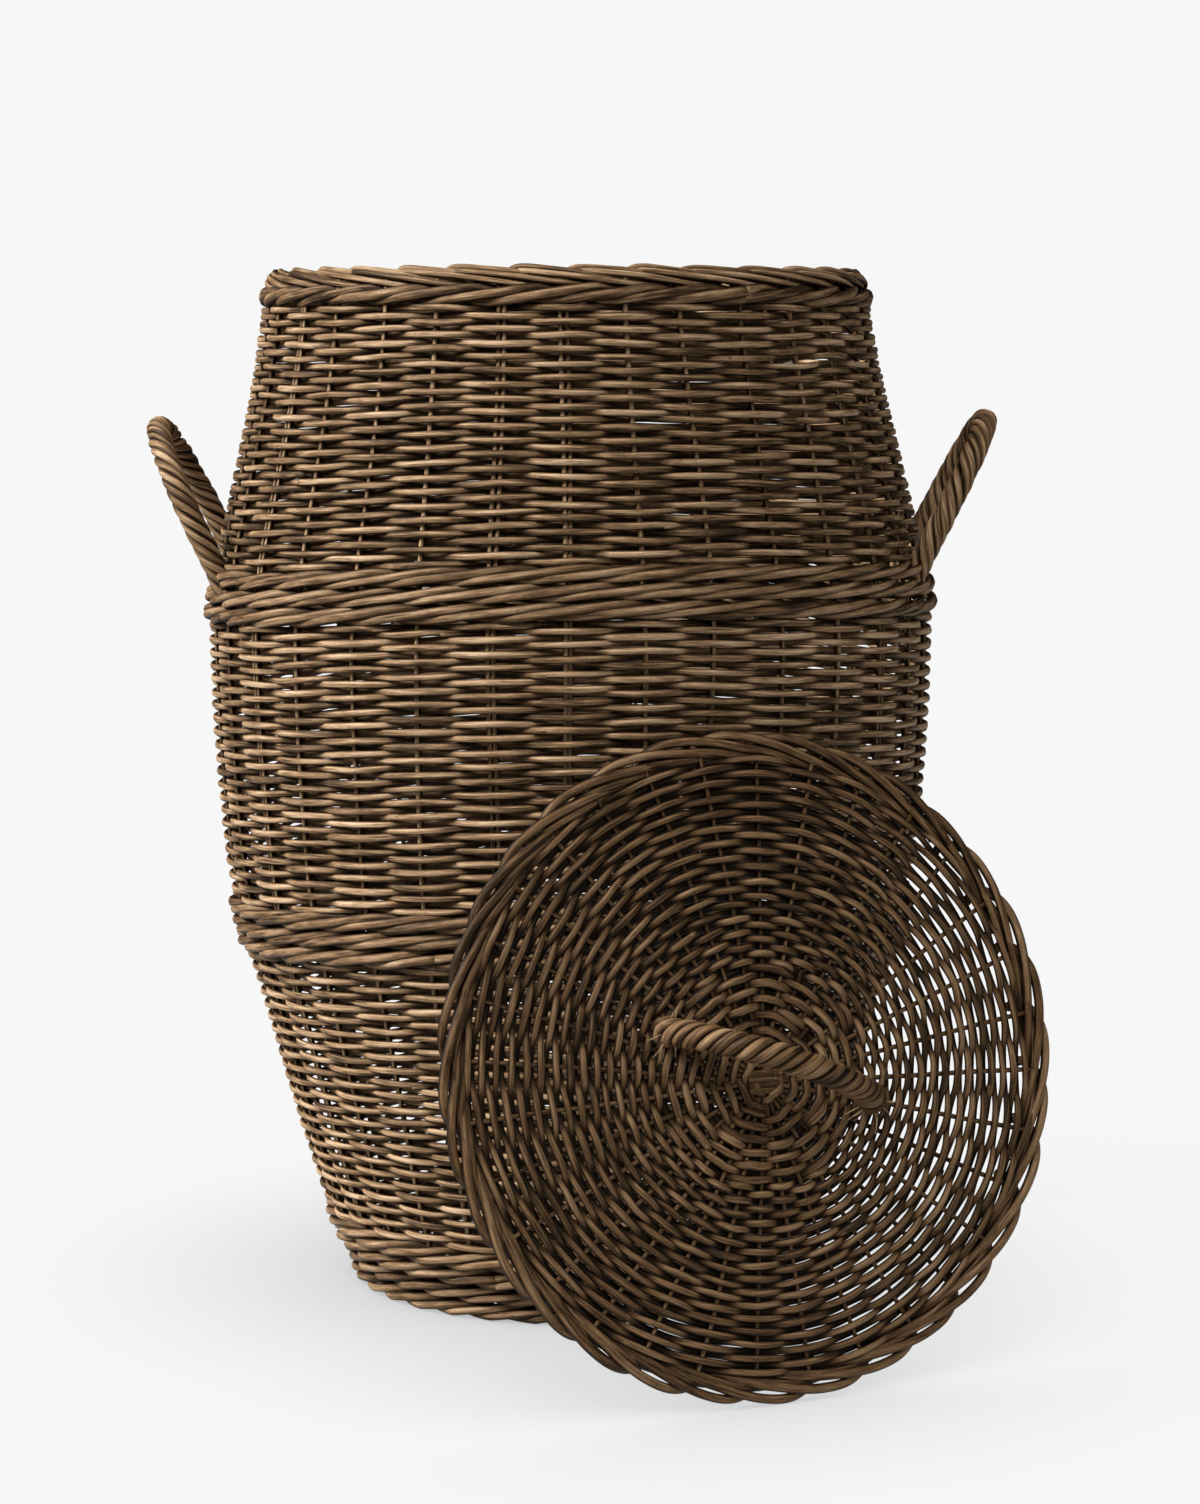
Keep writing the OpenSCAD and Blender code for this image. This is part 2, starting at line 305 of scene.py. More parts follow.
def plain_weave(name, seed, material, node):
    """Rows that pass in front of one stake and behind the next."""
    rods = Rods(name, seed)
    rng = rods.rng
    z0, z1 = levels(node)
    rows = round((z1 - z0) / ROW_H)
    pitch = (z1 - z0) / rows
    count = STAKES * STEPS + STEPS // 2
    turn = np.arange(count) / STEPS
    start = rng.integers(0, STAKES, rows)
    s = start[:, None] + turn[None] + 0.35
    parity = np.arange(rows)[:, None]
    level = (z0 + (parity + 0.5) * pitch) + 0 * s
    angle = weaver_angle(s, level)
    level = level + arch(angle, level) + wave(angle, level) * fade(level, z0, z1)
    level = level + smooth_noise(rng, rows, count, 2 * STAKES, 0.00028)
    level = level + smooth_noise(rng, rows, count, 9, 0.0003)
    swing = peaked(np.cos(math.pi * (s + parity)), 0.7)
    thick = 1 + rng.normal(0, 0.05, (rows, 1)) + smooth_noise(rng, rows, count, 7, 0.04)
    middle = wall_r(level) - STAKE_IN
    depth = STAKE_R + 0.7 * WEAVER_R
    radius = middle + depth * swing * (1 + smooth_noise(rng, rows, count, STAKES, 0.06))
    path = ring_points(angle, radius, level)
    squeeze = 0.92 + 0.08 * swing**2
    rods.add(path, radial(path), WEAVER_R * thick * squeeze, WEAVER_R * 0.76 * thick, worn=swing)
    return rods.piece("hamper", material, "weave_rattan", node)


def wale(name, seed, material, node, rows, inset=0.0028):
    """Rows of three rods twisted round the stakes like a rope, rising to the right outside.

    inset is the way from the wall's outer face in to the rows' middle line.
    """
    rods = Rods(name, seed)
    rng = rods.rng
    z0, z1 = levels(node)
    height = (z1 - z0) / rows
    rise = height / 2 - WALE_R * 0.62
    count = STAKES * STEPS + 1
    turn = np.linspace(0, STAKES, count)
    row = np.repeat(np.arange(rows), 3)[:, None]
    strand = np.tile(np.arange(3), rows)[:, None]
    s = turn[None] + rng.uniform(0, STAKES, (rows, 1))[row[:, 0]]
    phase = FULL_TURN * (turn[None] * WALE_TURNS / STAKES + strand / 3 + rng.random((rows, 1))[row[:, 0]])
    phase = phase - 0.45 * np.sin(phase)
    middle_z = z0 + (row + 0.5) * height + 0 * s
    angle = weaver_angle(s, middle_z)
    middle_z = middle_z + arch(angle, middle_z)
    level = middle_z + rise * np.sin(phase) + smooth_noise(rng, 3 * rows, count, STAKES, 0.0004)
    level = np.maximum(level, WALE_R * 1.12)
    wide = 1 + rng.normal(0, 0.04, (3 * rows, 1)) + smooth_noise(rng, 3 * rows, count, 9, 0.05)
    middle = wall_r(middle_z) - inset
    radius = middle + WALE_DEPTH * np.cos(phase)
    path = ring_points(angle, radius, level)
    rods.add(path, radial(path), WALE_R * 1.04 * wide, WALE_R * 0.86 * wide, worn=np.cos(phase))
    return rods.piece("hamper", material, "band_rattan", node)


def side_stakes(material):
    """The upright rods, some of them doubled."""
    rods = Rods("stake_rods", 21)
    rng = rods.rng
    z0 = levels("base_spokes")[0]
    z1 = levels("rim_border")[0] + 0.006
    count = 70
    z = np.linspace(z0, z1, count)
    which = np.concatenate([np.arange(STAKES), np.flatnonzero(rng.random(STAKES) < 0.35)])
    twin = np.concatenate([np.zeros(STAKES), np.full(len(which) - STAKES, 1)])[:, None]
    place = np.stack([stake_place(np.full(count, i), z) for i in which]) * STAKE_TURN
    doubled = np.isin(which, which[STAKES:])[:, None]
    middle = wall_r(z) - STAKE_IN
    side = np.where(twin > 0, 1.0, -1.0) * doubled * STAKE_R
    place = place + side / middle + smooth_noise(rng, len(which), count, 9, 0.0015)
    path = ring_points(place, np.broadcast_to(middle, place.shape), np.broadcast_to(z, place.shape))
    size = STAKE_R * np.where(doubled, 0.9, 1.05) * (1 + rng.normal(0, 0.05, (len(which), 1)))
    rods.add(path, radial(path), size, size, worn=0)
    return rods.piece("hamper", material, "stake_rattan", "side_stakes")


def rolled_border(material):
    """Each stake's end loops over the top to the right and comes down outside, round a core of rods."""
    rods = Rods("rim_border_rods", 33)
    rng = rods.rng
    z0, z1 = levels("rim_border")
    r0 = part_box("rim_border")[1][0] - BORDER_ROD_R
    top = z1 - BORDER_ROD_R + 0.0015
    # (stakes to the right, distance outward, height) along the middle of one pair of rods
    way = [
        (0.0, -0.0045, z0 - 0.008),
        (0.02, -0.0050, z0 + 0.002),
        (0.10, -0.0058, top - 0.0022),
        (0.32, -0.0034, top),
        (0.80, -0.0014, top - 0.0013),
        (1.30, -0.0004, top - 0.0033),
        (1.80, 0.0, top - 0.0058),
        (2.25, -0.0012, z0 + 0.0012),
        (2.60, -0.0042, z0 + 0.0008),
    ]
    count = 44
    curve = catmull(way, count)
    for apart in (-1, 1):
        i = np.arange(STAKES)[:, None]
        z = np.broadcast_to(curve[:, 2], (STAKES, count))
        angle = weaver_angle(i + curve[None, :, 0], z) + rng.normal(0, 0.004, (STAKES, 1))
        lift = smooth_noise(rng, STAKES, count, 3, 0.0003) + apart * BORDER_ROD_R * 0.62
        out = curve[None, :, 1] - apart * BORDER_ROD_R * 0.7 + rng.normal(0, 0.0003, (STAKES, 1))
        path = ring_points(angle, r0 + out, z + lift)
        outward = radial(path) * 0.9 + np.array([0, 0, 0.45])
        size = BORDER_ROD_R * (1 + rng.normal(0, 0.06, (STAKES, 1))) * np.ones(count)
        rods.add(path, outward, size, size * 0.9, worn=0.8)
    core = 4
    turn = np.linspace(0, FULL_TURN, STAKES * STEPS + 1)[None]
    angle = turn + np.arange(core)[:, None]
    twist = turn * 24 + np.arange(core)[:, None] * FULL_TURN / core
    level = (z0 + z1) / 2 - 0.0012 + 0.0022 * np.sin(twist)
    path = ring_points(angle, r0 - 0.0068 + 0.0026 * np.cos(twist), level)
    rods.add(path, radial(path), BORDER_ROD_R, BORDER_ROD_R, worn=0.2)
    return rods.piece("hamper", material, "band_rattan", "rim_border")


# ---------------------------------------------------------------- round plates: base and lid


PLATE_SWING = 0.0028  # how far a rod of the base or lid swings to either side of the spokes


def plate_rows(rods, place, r0, r1, height, spokes, hub_shift, reach, parity_from):
    """Rings of plain weave on a flat or domed plate. place() puts local points in the frame."""
    rng = rods.rng
    rows = max(1, round((r1 - r0) / ROW_H))
    pitch = (r1 - r0) / rows
    steps = STEPS * max(1, STAKES // spokes // 2)
    count = spokes * steps + steps // 2
    s = rng.integers(0, spokes, rows)[:, None] + np.arange(count)[None] / steps + 0.35
    row = np.arange(rows)[:, None]
    ring = r0 + (row + 0.5) * pitch + 0 * s
    angle = (s + 0.5) * FULL_TURN / spokes
    ring = ring + 0.0008 * np.sin(3 * angle + ring * 60) + 0.0006 * np.sin(7 * angle - ring * 45)
    ring = ring + smooth_noise(rng, rows, count, 2 * STAKES, 0.0003)
    swing = peaked(np.cos(math.pi * (s + row + parity_from)))
    thick = 1 + rng.normal(0, 0.05, (rows, 1)) + smooth_noise(rng, rows, count, 5, 0.05)
    lift = height(ring) + PLATE_SWING * swing
    shift = hub_shift * (1 - ring / reach)[..., None]
    local = np.stack([ring * np.cos(angle), ring * np.sin(angle), lift], axis=-1)
    local[..., :2] += shift
    path = place(local)
    up = place(local + np.array([0, 0, 0.01])) - path
    squeeze = 0.93 + 0.07 * swing**2
    half = WEAVER_R * (1.0 if spokes == STAKES else HUB_THICKER)
    rods.add(path, unit(up), half * thick * squeeze, half * 0.64 * thick, worn=swing)
    return rows


# Outer radii of the rings where the spokes still pass in groups, and the number of groups
HUB_RINGS = ((0.018, 4), (0.040, 8), (0.066, 16))
HUB_R = 0.0045  # where the innermost row runs
HUB_THICKER = 1.15  # rods near the middle are this much wider


def plate_rings(rods, place, reach, height, hub_shift):
    """Weaves a whole plate, from its middle to its reach, opening the spokes out on the way."""
    r0, rows = HUB_R, 0
    for r1, spokes in (*HUB_RINGS, (reach, STAKES)):
        rows += plate_rows(rods, place, r0, r1, height, spokes, hub_shift, reach, rows)
        r0 = r1


def plate_spokes(rods, place, r0, r1, height, spokes, hub_shift, size, reach, offset=0.0):
    count = 24
    r = np.linspace(r0, r1, count)[None]
    i = np.arange(spokes)[:, None]
    angle = (i + offset) * FULL_TURN / spokes + 0 * r
    angle = angle + smooth_noise(rods.rng, spokes, count, 4, 0.004)
    local = np.stack([r * np.cos(angle), r * np.sin(angle), height(r) + 0 * angle], axis=-1)
    local[..., :2] += hub_shift * (1 - r / reach)[..., None]
    path = place(local)
    up = place(local + np.array([0, 0, 0.01])) - path
    rods.add(path, unit(up), size, size, worn=0)


def cross_rods(name, seed, place, height, hub_shift, spacing, length, body, material, node):
    """Rods crossed in two layers, from which the spokes spread."""
    rods = Rods(name, seed)
    count = 9
    t = np.linspace(-0.5, 0.5, count)
    for layer, turned in ((-1, False), (1, True)):
        lines = []
        for k in (-1.5, -0.5, 0.5, 1.5):
            x = np.full(count, k * spacing)
            y = t * length
            lines.append(np.stack([y, x] if turned else [x, y], axis=-1))
        flat = np.array(lines) + hub_shift
        r = np.linalg.norm(flat, axis=-1)
        local = np.concatenate([flat, (height(r) + layer * STAKE_R * 1.1)[..., None]], axis=-1)
        path = place(local)
        up = place(local + np.array([0, 0, 0.01])) - path
        rods.add(path, unit(up), STAKE_R * 1.25, STAKE_R * 1.1, worn=0)
    return rods.piece(body, material, "stake_rattan", node)


def base_pieces(mats):
    z0, z1 = levels("base_weave")
    middle = (z0 + z1) / 2
    low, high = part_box("base_weave")
    reach = (high[0] - low[0]) / 2 + 0.002
    none = np.zeros(2)

    def height(r):
        return middle + 0 * r

    def place(local):
        return local

    spacing, length = 0.007, 0.075
    cross_rods("base_cross_rods", 41, place, height, none, spacing, length, "hamper",
               mats["stake"], "base_cross")
    spokes = Rods("base_spoke_rods", 42)
    plate_spokes(spokes, place, 0.02, reach, height, STAKES, none, STAKE_R, reach)
    spokes.piece("hamper", mats["stake"], "stake_rattan", "base_spokes")
    weave = Rods("base_weave_rods", 43)
    plate_rings(weave, place, reach, height, none)
    weave.piece("hamper", mats["weave"], "weave_rattan", "base_weave")


# ---------------------------------------------------------------- the lid


def lid_frame():
    """The lid's centre, its axes as rows (along, up the lid, outward) and its radius, from the CAD border."""
    p = node_points("lid_border")
    centre = p.mean(axis=0)
    spread = p - centre
    outward = np.linalg.svd(spread[:: max(1, len(p) // 4000)], full_matrices=False)[2][2]
    outward = outward * (-1 if outward[1] > 0 else 1)
    along = unit(np.cross([0, 0, 1], outward))
    up = np.cross(outward, along)
    return centre, np.array([along, up, outward]), np.linalg.norm(spread, axis=1).max()


LID_CENTRE, LID_AXES, LID_R = lid_frame()
LID_DOME = 0.012
LID_HUB = np.array([-0.001, -0.011])


def lid_place(local):
    return LID_CENTRE + np.asarray(local) @ LID_AXES


def lid_height(r):
    return LID_DOME * (1 - (r / LID_R) ** 2)


def lid_border(material):
    """One rod from each spoke comes round the edge from behind and runs on clockwise, over a twisted row."""
    rods = Rods("lid_border_rods", 57)
    rng = rods.rng
    edge = LID_R - 0.0040
    # (spokes clockwise, distance from the edge, height over the lid) along one rod
    way = [
        (-0.10, -0.022, -0.0010),
        (-0.14, -0.0135, -0.0034),
        (-0.04, -0.0065, -0.0036),
        (0.16, -0.0018, -0.0018),
        (0.45, 0.0, 0.0008),
        (0.85, -0.0013, 0.0026),
        (1.25, -0.0042, 0.0034),
        (1.70, -0.0078, 0.0030),
        (2.15, -0.0104, 0.0010),
        (2.60, -0.0128, -0.0018),
    ]
    count = 48
    curve = catmull(way, count)
    i = np.arange(STAKES)[:, None]
    angle = (i + 0.5 - curve[None, :, 0]) * STAKE_TURN + rng.normal(0, 0.006, (STAKES, 1))
    radius = edge + curve[None, :, 1] + rng.normal(0, 0.0003, (STAKES, 1))
    height = curve[None, :, 2] + smooth_noise(rng, STAKES, count, 3, 0.0003)
    local = np.stack([radius * np.cos(angle), radius * np.sin(angle), height], axis=-1)
    path = lid_place(local)
    size = WEAVER_R * 1.3 * (1 + rng.normal(0, 0.05, (STAKES, 1))) * np.ones(count)
    rods.add(path, LID_AXES[2], size, size * 0.85, worn=0.75)
    lid_wale(rods, edge - 0.0105, -0.0002)
    return rods.piece("lid", material, "band_rattan", "lid_border")


def lid_wale(rods, ring, lift):
    """Three rods twisted round the spokes, inside or behind the border."""
    rng = rods.rng
    count = STAKES * STEPS + 1
    s = np.linspace(0, STAKES, count)[None]
    strand = np.arange(3)[:, None]
    phase = FULL_TURN * (s * WALE_TURNS / STAKES + strand / 3)
    angle = -(s + 0.5) * STAKE_TURN
    radius = ring + 0.0028 * np.sin(-phase) + smooth_noise(rng, 3, count, 20, 0.0004)
    height = lift + PLATE_SWING * np.cos(phase)
    local = np.stack([radius * np.cos(angle), radius * np.sin(angle), height], axis=-1)
    path = lid_place(local)
    size = WEAVER_R * 1.15
    rods.add(path, LID_AXES[2], size, size * 0.85, worn=np.cos(phase))


def lid_pieces(mats):
    spacing, length = 0.0036, 0.020
    cross_rods("lid_cross_rods", 51, lid_place, lid_height, LID_HUB, spacing, length, "lid",
               mats["lid_stake"], "lid_cross")
    spokes = Rods("lid_spoke_rods", 52)
    plate_spokes(spokes, lid_place, 0.006, LID_R - 0.014, lid_height, STAKES, LID_HUB, 0.0015, LID_R, 0.5)
    spokes.piece("lid", mats["lid_stake"], "stake_rattan", "lid_spokes")
    weave = Rods("lid_weave_rods", 53)
    plate_rings(weave, lid_place, LID_R - 0.0175, lid_height, LID_HUB)
    weave.piece("lid", mats["lid_weave"], "weave_rattan", "lid_weave")
    lid_border(mats["lid_band"])


# ---------------------------------------------------------------- rope handles

ROPE_FLARE = 0.12  # how much a rope widens at its two ends
CORE_R = 0.0036  # the bow inside a rope


def rope(name, seed, path, body, material, node, first_side, radius, strands, lay):
    """Rods twisted together round a bow. lay is the length of one full twist."""
    rods = Rods(name, seed)
    rng = rods.rng
    tangent = unit(np.gradient(path, axis=0))
    across = unit(np.cross(tangent, np.array(first_side, float)))
    out = np.cross(across, tangent)
    length = lengths_along(path[None])[0]
    near_end = np.minimum(length, length[-1] - length) / 0.012
    widen = 1 + ROPE_FLARE * np.exp(-(near_end**2))
    slant = math.atan(FULL_TURN * 0.7 * radius / lay)
    share = math.pi / strands * math.cos(slant) * 1.14  # a rod's radius over the twist's radius
    centre_r = radius / (1 + 0.88 * share)
    rod_r = centre_r * share
    turn = -FULL_TURN * (length / lay)[None] + (np.arange(strands) * FULL_TURN / strands)[:, None]
    turn = turn + smooth_noise(rng, strands, len(path), 11, 0.07)
    offset = np.cos(turn)[..., None] * out + np.sin(turn)[..., None] * across
    uneven = 1 + smooth_noise(rng, strands, len(path), 14, 0.03)
    line = path + offset * (centre_r * widen * uneven)[..., None]
    thick = 1 + rng.normal(0, 0.06, (strands, 1)) + smooth_noise(rng, strands, len(path), 16, 0.06)
    size = rod_r * widen * thick
    rods.add(line, offset, size, size * 0.88, sides=12, worn=0.75)
    return rods.piece(body, material, "rope_rattan", node)


def core(name, seed, path, body, material, node):
    """The bent rod that a rope's rods are twisted round."""
    rods = Rods(name, seed)
    side = unit(np.cross(np.gradient(path, axis=0), (0.3, 0.5, 1.0)))  # any side will do for a round rod
    rods.add(path[None], side[None], CORE_R, CORE_R, worn=0)
    return rods.piece(body, material, "stake_rattan", node)


def ear_path(side):
    """Middle line of an ear handle, from one root to the other, leaning outwards."""
    arch_r = EAR_SPAN / 2
    leg = EAR_RISE - arch_r
    root_z = levels("upper_band")[1] - EAR_DROP + EAR_UNEVEN[side]
    root_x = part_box("right_handle_bow")[0][0] + 0.0015
    lean = EAR_LEAN[side]
    legs = np.linspace(-0.012, leg, 14)[:-1]
    turn = np.linspace(0, math.pi, 46)
    along = np.concatenate([legs, leg + arch_r * np.sin(turn), legs[::-1]])
    across = np.concatenate([np.full(13, -arch_r), -arch_r * np.cos(turn), np.full(13, arch_r)])
    x = root_x + along * math.sin(lean)
    z = root_z + along * math.cos(lean)
    y = side * across
    path = np.stack([side * (x + EAR_ASKEW[side] * y), y, z], axis=-1)
    return catmull(path[::2], 150)


def lid_handle_path():
    """Middle line of the lid's handle, an arch that dives into the lid at both ends."""
    half = LID_HANDLE_SPAN / 2
    radius = (half**2 + LID_HANDLE_RISE**2) / (2 * LID_HANDLE_RISE)
    open_angle = math.asin(half / radius)
    turn = np.linspace(-open_angle, open_angle, 60)
    root = lid_height(half) + 0.0055
    x = radius * np.sin(turn)
    z = root + LID_HANDLE_RISE - radius + radius * np.cos(turn)
    x = np.concatenate([[-half - 0.001], x, [half + 0.001]]) + LID_HANDLE_SHIFT
    z = np.concatenate([[root - LID_HANDLE_DIVE], z, [root - LID_HANDLE_DIVE]])
    c, s = math.cos(LID_HANDLE_TURN), math.sin(LID_HANDLE_TURN)
    return lid_place(catmull(np.stack([x * c, x * s, z], axis=-1), 150))


def lid_handle_ties(material, path):
    """Fine strips wound round the handle's two feet, with frayed ends sticking out."""
    rods = Rods("lid_handle_tie_rods", 71)
    rng = rods.rng
    up = LID_AXES[2]
    for end, frays, turns in ((path, 5, 0), (path[::-1], 16, 7)):
        count = 140
        tail = end[:16]
        at = np.linspace(1, 13, count)
        core = catmull(tail, 16)
        core = np.stack([np.interp(at, np.arange(16), core[:, k]) for k in range(3)], axis=-1)
        tangent = unit(np.gradient(core, axis=0))
        side = unit(np.cross(tangent, LID_AXES[1]))
        other = np.cross(side, tangent)
        turn = np.linspace(0, turns * FULL_TURN, count)[:, None]
        coil = core + (np.cos(turn) * side + np.sin(turn) * other) * TIE_R
        if turns:
            rods.add(coil[None], unit(coil - core)[None], 0.0012, 0.0009, worn=-0.6)
        foot = end[3]
        heading = rng.uniform(0, FULL_TURN, frays)
        reach = rng.uniform(0.008, 0.017, frays)
        t = np.linspace(0, 1, 12)[None, :, None]
        flat = np.cos(heading)[:, None] * LID_AXES[0] + np.sin(heading)[:, None] * LID_AXES[1]
        start = foot + flat * 0.004 - up * 0.001
        bend = rng.uniform(-1, 1, (frays, 1, 3)) * 0.003
        rise = up * 0.004 * np.sin(math.pi * t * 0.8)
        fray = start[:, None] + flat[:, None] * reach[:, None, None] * t + bend * t**2 + rise
        rods.add(fray, up, 0.0009 * (1 - 0.7 * t[..., 0]), 0.0003, worn=1.0)
    return rods.piece("lid", material, "tie_fibre", "lid_handle_lashings")


def handle_pieces(mats):
    for side, name in ((1, "right"), (-1, "left")):
        level = (math.cos(EAR_LEAN[side]), 0, -side * math.sin(EAR_LEAN[side]))
        path = ear_path(side)
        rope(f"{name}_handle_rope", 60 + side, path, "hamper", mats["rope"], f"{name}_handle_wrap", level,
             **EAR_ROPE)
        core(f"{name}_handle_core", 64 + side, path, "hamper", mats["stake"], f"{name}_handle_bow")
    path = lid_handle_path()
    sideways = LID_AXES.T @ np.array([-math.sin(LID_HANDLE_TURN), math.cos(LID_HANDLE_TURN), 0])
    rope("lid_handle_rope", 70, path, "lid", mats["lid_rope"], "lid_handle_wrap", sideways, **LID_ROPE)
    core("lid_handle_core", 72, path, "lid", mats["stake"], "lid_handle_bow")
    lid_handle_ties(mats["tie"], path)


# ---------------------------------------------------------------- materials


class Nodes:
    """A short way to add shader nodes to a new material."""

    def __init__(self, name):
        self.material = bpy.data.materials.new(name)
        self.material.use_nodes = True
        self.tree = self.material.node_tree
        self.tree.nodes.clear()

    def add(self, kind, links=(), **settings):
        node = self.tree.nodes.new("ShaderNode" + kind)
        for key, value in settings.items():
            setattr(node, key, value)
        for socket, value in dict(links).items():
            if isinstance(value, bpy.types.NodeSocket):
                self.tree.links.new(value, node.inputs[socket])
            else:
                node.inputs[socket].default_value = value
        return node

    def math(self, operation, a, b=0.0, c=0.0):
        return self.add("Math", {0: a, 1: b, 2: c}, operation=operation).outputs[0]

    def ramp(self, value, *stops):
        """A colour ramp through (position, colour) stops."""
        node = self.add("ValToRGB", {"Fac": value})
        points = node.color_ramp.elements
        while len(points) < len(stops):
            points.new(0.5)
        for point, (at, colour) in zip(points, stops, strict=True):
            point.position, point.color = at, (*colour, 1)
        return node.outputs["Color"]

    def mix(self, amount, a, b, blend="MIX"):
        node = self.add("Mix", data_type="RGBA", blend_type=blend)
        for socket, value in zip((0, 6, 7), (amount, a, b), strict=True):
            if isinstance(value, bpy.types.NodeSocket):
                self.tree.links.new(value, node.inputs[socket])
            else:
                node.inputs[socket].default_value = value
        return node.outputs[2]


def rattan(name, dark, middle, light, brightness=1.0, roughness=0.58, painted_recess_dark=0.60, flank_shade=(0.60, 0.08)):
    """Rods with streaks along them, blotches and specks, and painted shade at their flanks and where they
    pass behind.

    The flank pair says how far round a rod the painted shade on its sides starts, from 0 to 1, and how dark
    it gets.
    """
    n = Nodes(name)
    uv = n.add("UVMap", uv_map="strand").outputs[0]
    split = n.add("SeparateXYZ", {0: uv})
    tone = n.add("Attribute", attribute_name="tone").outputs["Fac"]
    worn = n.add("Attribute", attribute_name="worn").outputs["Fac"]
    seed = n.math("MULTIPLY", tone, 317.0)
    along, around = split.outputs[0], split.outputs[1]
    ring = n.math("MULTIPLY", around, FULL_TURN)
    ring_x = n.math("COSINE", ring)
    ring_y = n.math("SINE", ring)

    def grain(per_metre, round_scale, detail):
        x = n.math("MULTIPLY_ADD", along, per_metre, seed)
        y = n.math("MULTIPLY", ring_x, round_scale)
        z = n.math("MULTIPLY", ring_y, round_scale)
        vector = n.add("CombineXYZ", {0: x, 1: y, 2: z}).outputs[0]
        settings = {"Vector": vector, "Scale": 1.0, "Detail": detail, "Roughness": 0.6}
        return n.add("TexNoise", settings).outputs[0]

    streaks = grain(42.0, 1.7, 4.0)
    fibres = grain(90.0, 5.5, 3.0)
    blotch = grain(26.0, 0.35, 3.0)
    specks = grain(330.0, 2.4, 2.0)
    base = n.math("MULTIPLY_ADD", streaks, 0.62, n.math("MULTIPLY", blotch, 0.38))
    base = n.math("MULTIPLY_ADD", n.math("SUBTRACT", tone, 0.5), 0.14, base)
    proud = n.math("MULTIPLY", worn, ring_x)
    # Painted highlight and shade: a face that stands out is a little lighter in tone, one that lies back a
    # little darker.
    base = n.math("MULTIPLY_ADD", n.math("SUBTRACT", proud, 0.5), 0.03, base)
    colour = n.ramp(base, (0.37, dark), (0.50, middle), (0.64, light))
    fine = n.ramp(fibres, (0.38, (0.42, 0.38, 0.35)), (0.56, (1, 1, 1)))
    colour = n.mix(0.75, colour, fine, "MULTIPLY")
    speck = n.ramp(specks, (0.64, (1, 1, 1)), (0.72, (0.16, 0.12, 0.10)))
    colour = n.mix(0.7, colour, speck, "MULTIPLY")
    # Painted shade on each rod's flanks, where it meets its neighbours.
    sides = n.add("MapRange", {"Value": n.math("ABSOLUTE", ring_y), "From Min": flank_shade[0], "From Max": 1.0,
                               "To Min": 1.0, "To Max": flank_shade[1]}).outputs[0]
    # Painted shade: a rod turns darker where it passes back behind a stake or spoke.
    painted_recess = n.add("MapRange", {"Value": proud, "From Min": -0.55, "From Max": 0.3,
                                "To Min": painted_recess_dark, "To Max": 1.0}).outputs[0]
    painted_shade = n.math("MULTIPLY", n.math("MULTIPLY", sides, painted_recess), brightness)
    # The painted shade turns a warmer brown where it is deep
    painted_shade_green, painted_shade_blue = n.math("POWER", painted_shade, 1.15), n.math("POWER", painted_shade, 1.35)
    shade = n.add("CombineColor", {0: painted_shade, 1: painted_shade_green, 2: painted_shade_blue}).outputs[0]
    colour = n.mix(1.0, colour, shade, "MULTIPLY")
    rough = n.math("MULTIPLY_ADD", fibres, 0.3, roughness - 0.15)
    height = n.math("MULTIPLY_ADD", fibres, 0.4, streaks)
    bump = n.add("Bump", {"Height": height, "Distance": 0.0006, "Strength": 0.8}).outputs[0]
    shader = n.add("BsdfPrincipled", {"Base Color": colour, "Roughness": rough, "Normal": bump,
                                      "Specular IOR Level": 0.22, "Specular Tint": (1.0, 0.80, 0.60, 1)})
    n.add("OutputMaterial", {"Surface": shader.outputs[0]})
    return n.material


RATTAN = ((0.034, 0.0180, 0.0072), (0.232, 0.140, 0.070), (0.46, 0.322, 0.200))
PALE_TIE = ((0.08, 0.048, 0.022), (0.24, 0.155, 0.078), (0.50, 0.36, 0.20))
LID_FLANK_SHADE = (0.62, 0.0)  # where the painted shade on a rod's sides starts, and how dark it gets
LID_SHADE = 0.47  # painted shade: all the lid's rattan is made a little darker than the hamper's, as the lid faces away from the light


def make_materials():
    return {
        "weave": rattan("rattan_weave", *RATTAN),
        # Painted shade: the bands and the rim are darker copies of the same rattan, against the light they
        # catch where they stand out.
        "band": rattan("rattan_band", *RATTAN, brightness=0.68, painted_recess_dark=0.4, flank_shade=(0.5, 0.03)),
        "rim": rattan("rattan_rim", *RATTAN, brightness=0.8),
        "stake": rattan("rattan_stake", *RATTAN, roughness=0.6),
        "lid_stake": rattan("rattan_lid_stake", *RATTAN, brightness=LID_SHADE * 0.9, roughness=0.6),
        "rope": rattan("rattan_rope", *RATTAN, brightness=0.9, roughness=0.6, flank_shade=(0.5, 0.03)),
        "lid_weave": rattan("rattan_lid_weave", *RATTAN, brightness=LID_SHADE, painted_recess_dark=0.10,
                            flank_shade=LID_FLANK_SHADE),
        "lid_band": rattan("rattan_lid_band", *RATTAN, brightness=LID_SHADE, flank_shade=LID_FLANK_SHADE),
        "lid_rope": rattan("rattan_lid_rope", *RATTAN, brightness=LID_SHADE * 1.2, roughness=0.6),
        "tie": rattan("tie_fibre", *PALE_TIE, brightness=1.2, roughness=0.7, painted_recess_dark=0.25),
    }


# ---------------------------------------------------------------- camera, light and floor

CAMERA_PLACE = (0.0196, -2.308, 0.636)
CAMERA_DIP = math.radians(6.88)
CAMERA_LENS = 81.72


def add_camera():
    data = bpy.data.cameras.new("camera")
    data.lens = CAMERA_LENS
    camera = bpy.data.objects.new("camera", data)
    camera.location = CAMERA_PLACE
    camera.rotation_euler = (math.pi / 2 - CAMERA_DIP, 0, 0)
    bpy.context.scene.collection.objects.link(camera)
    bpy.context.scene.camera = camera


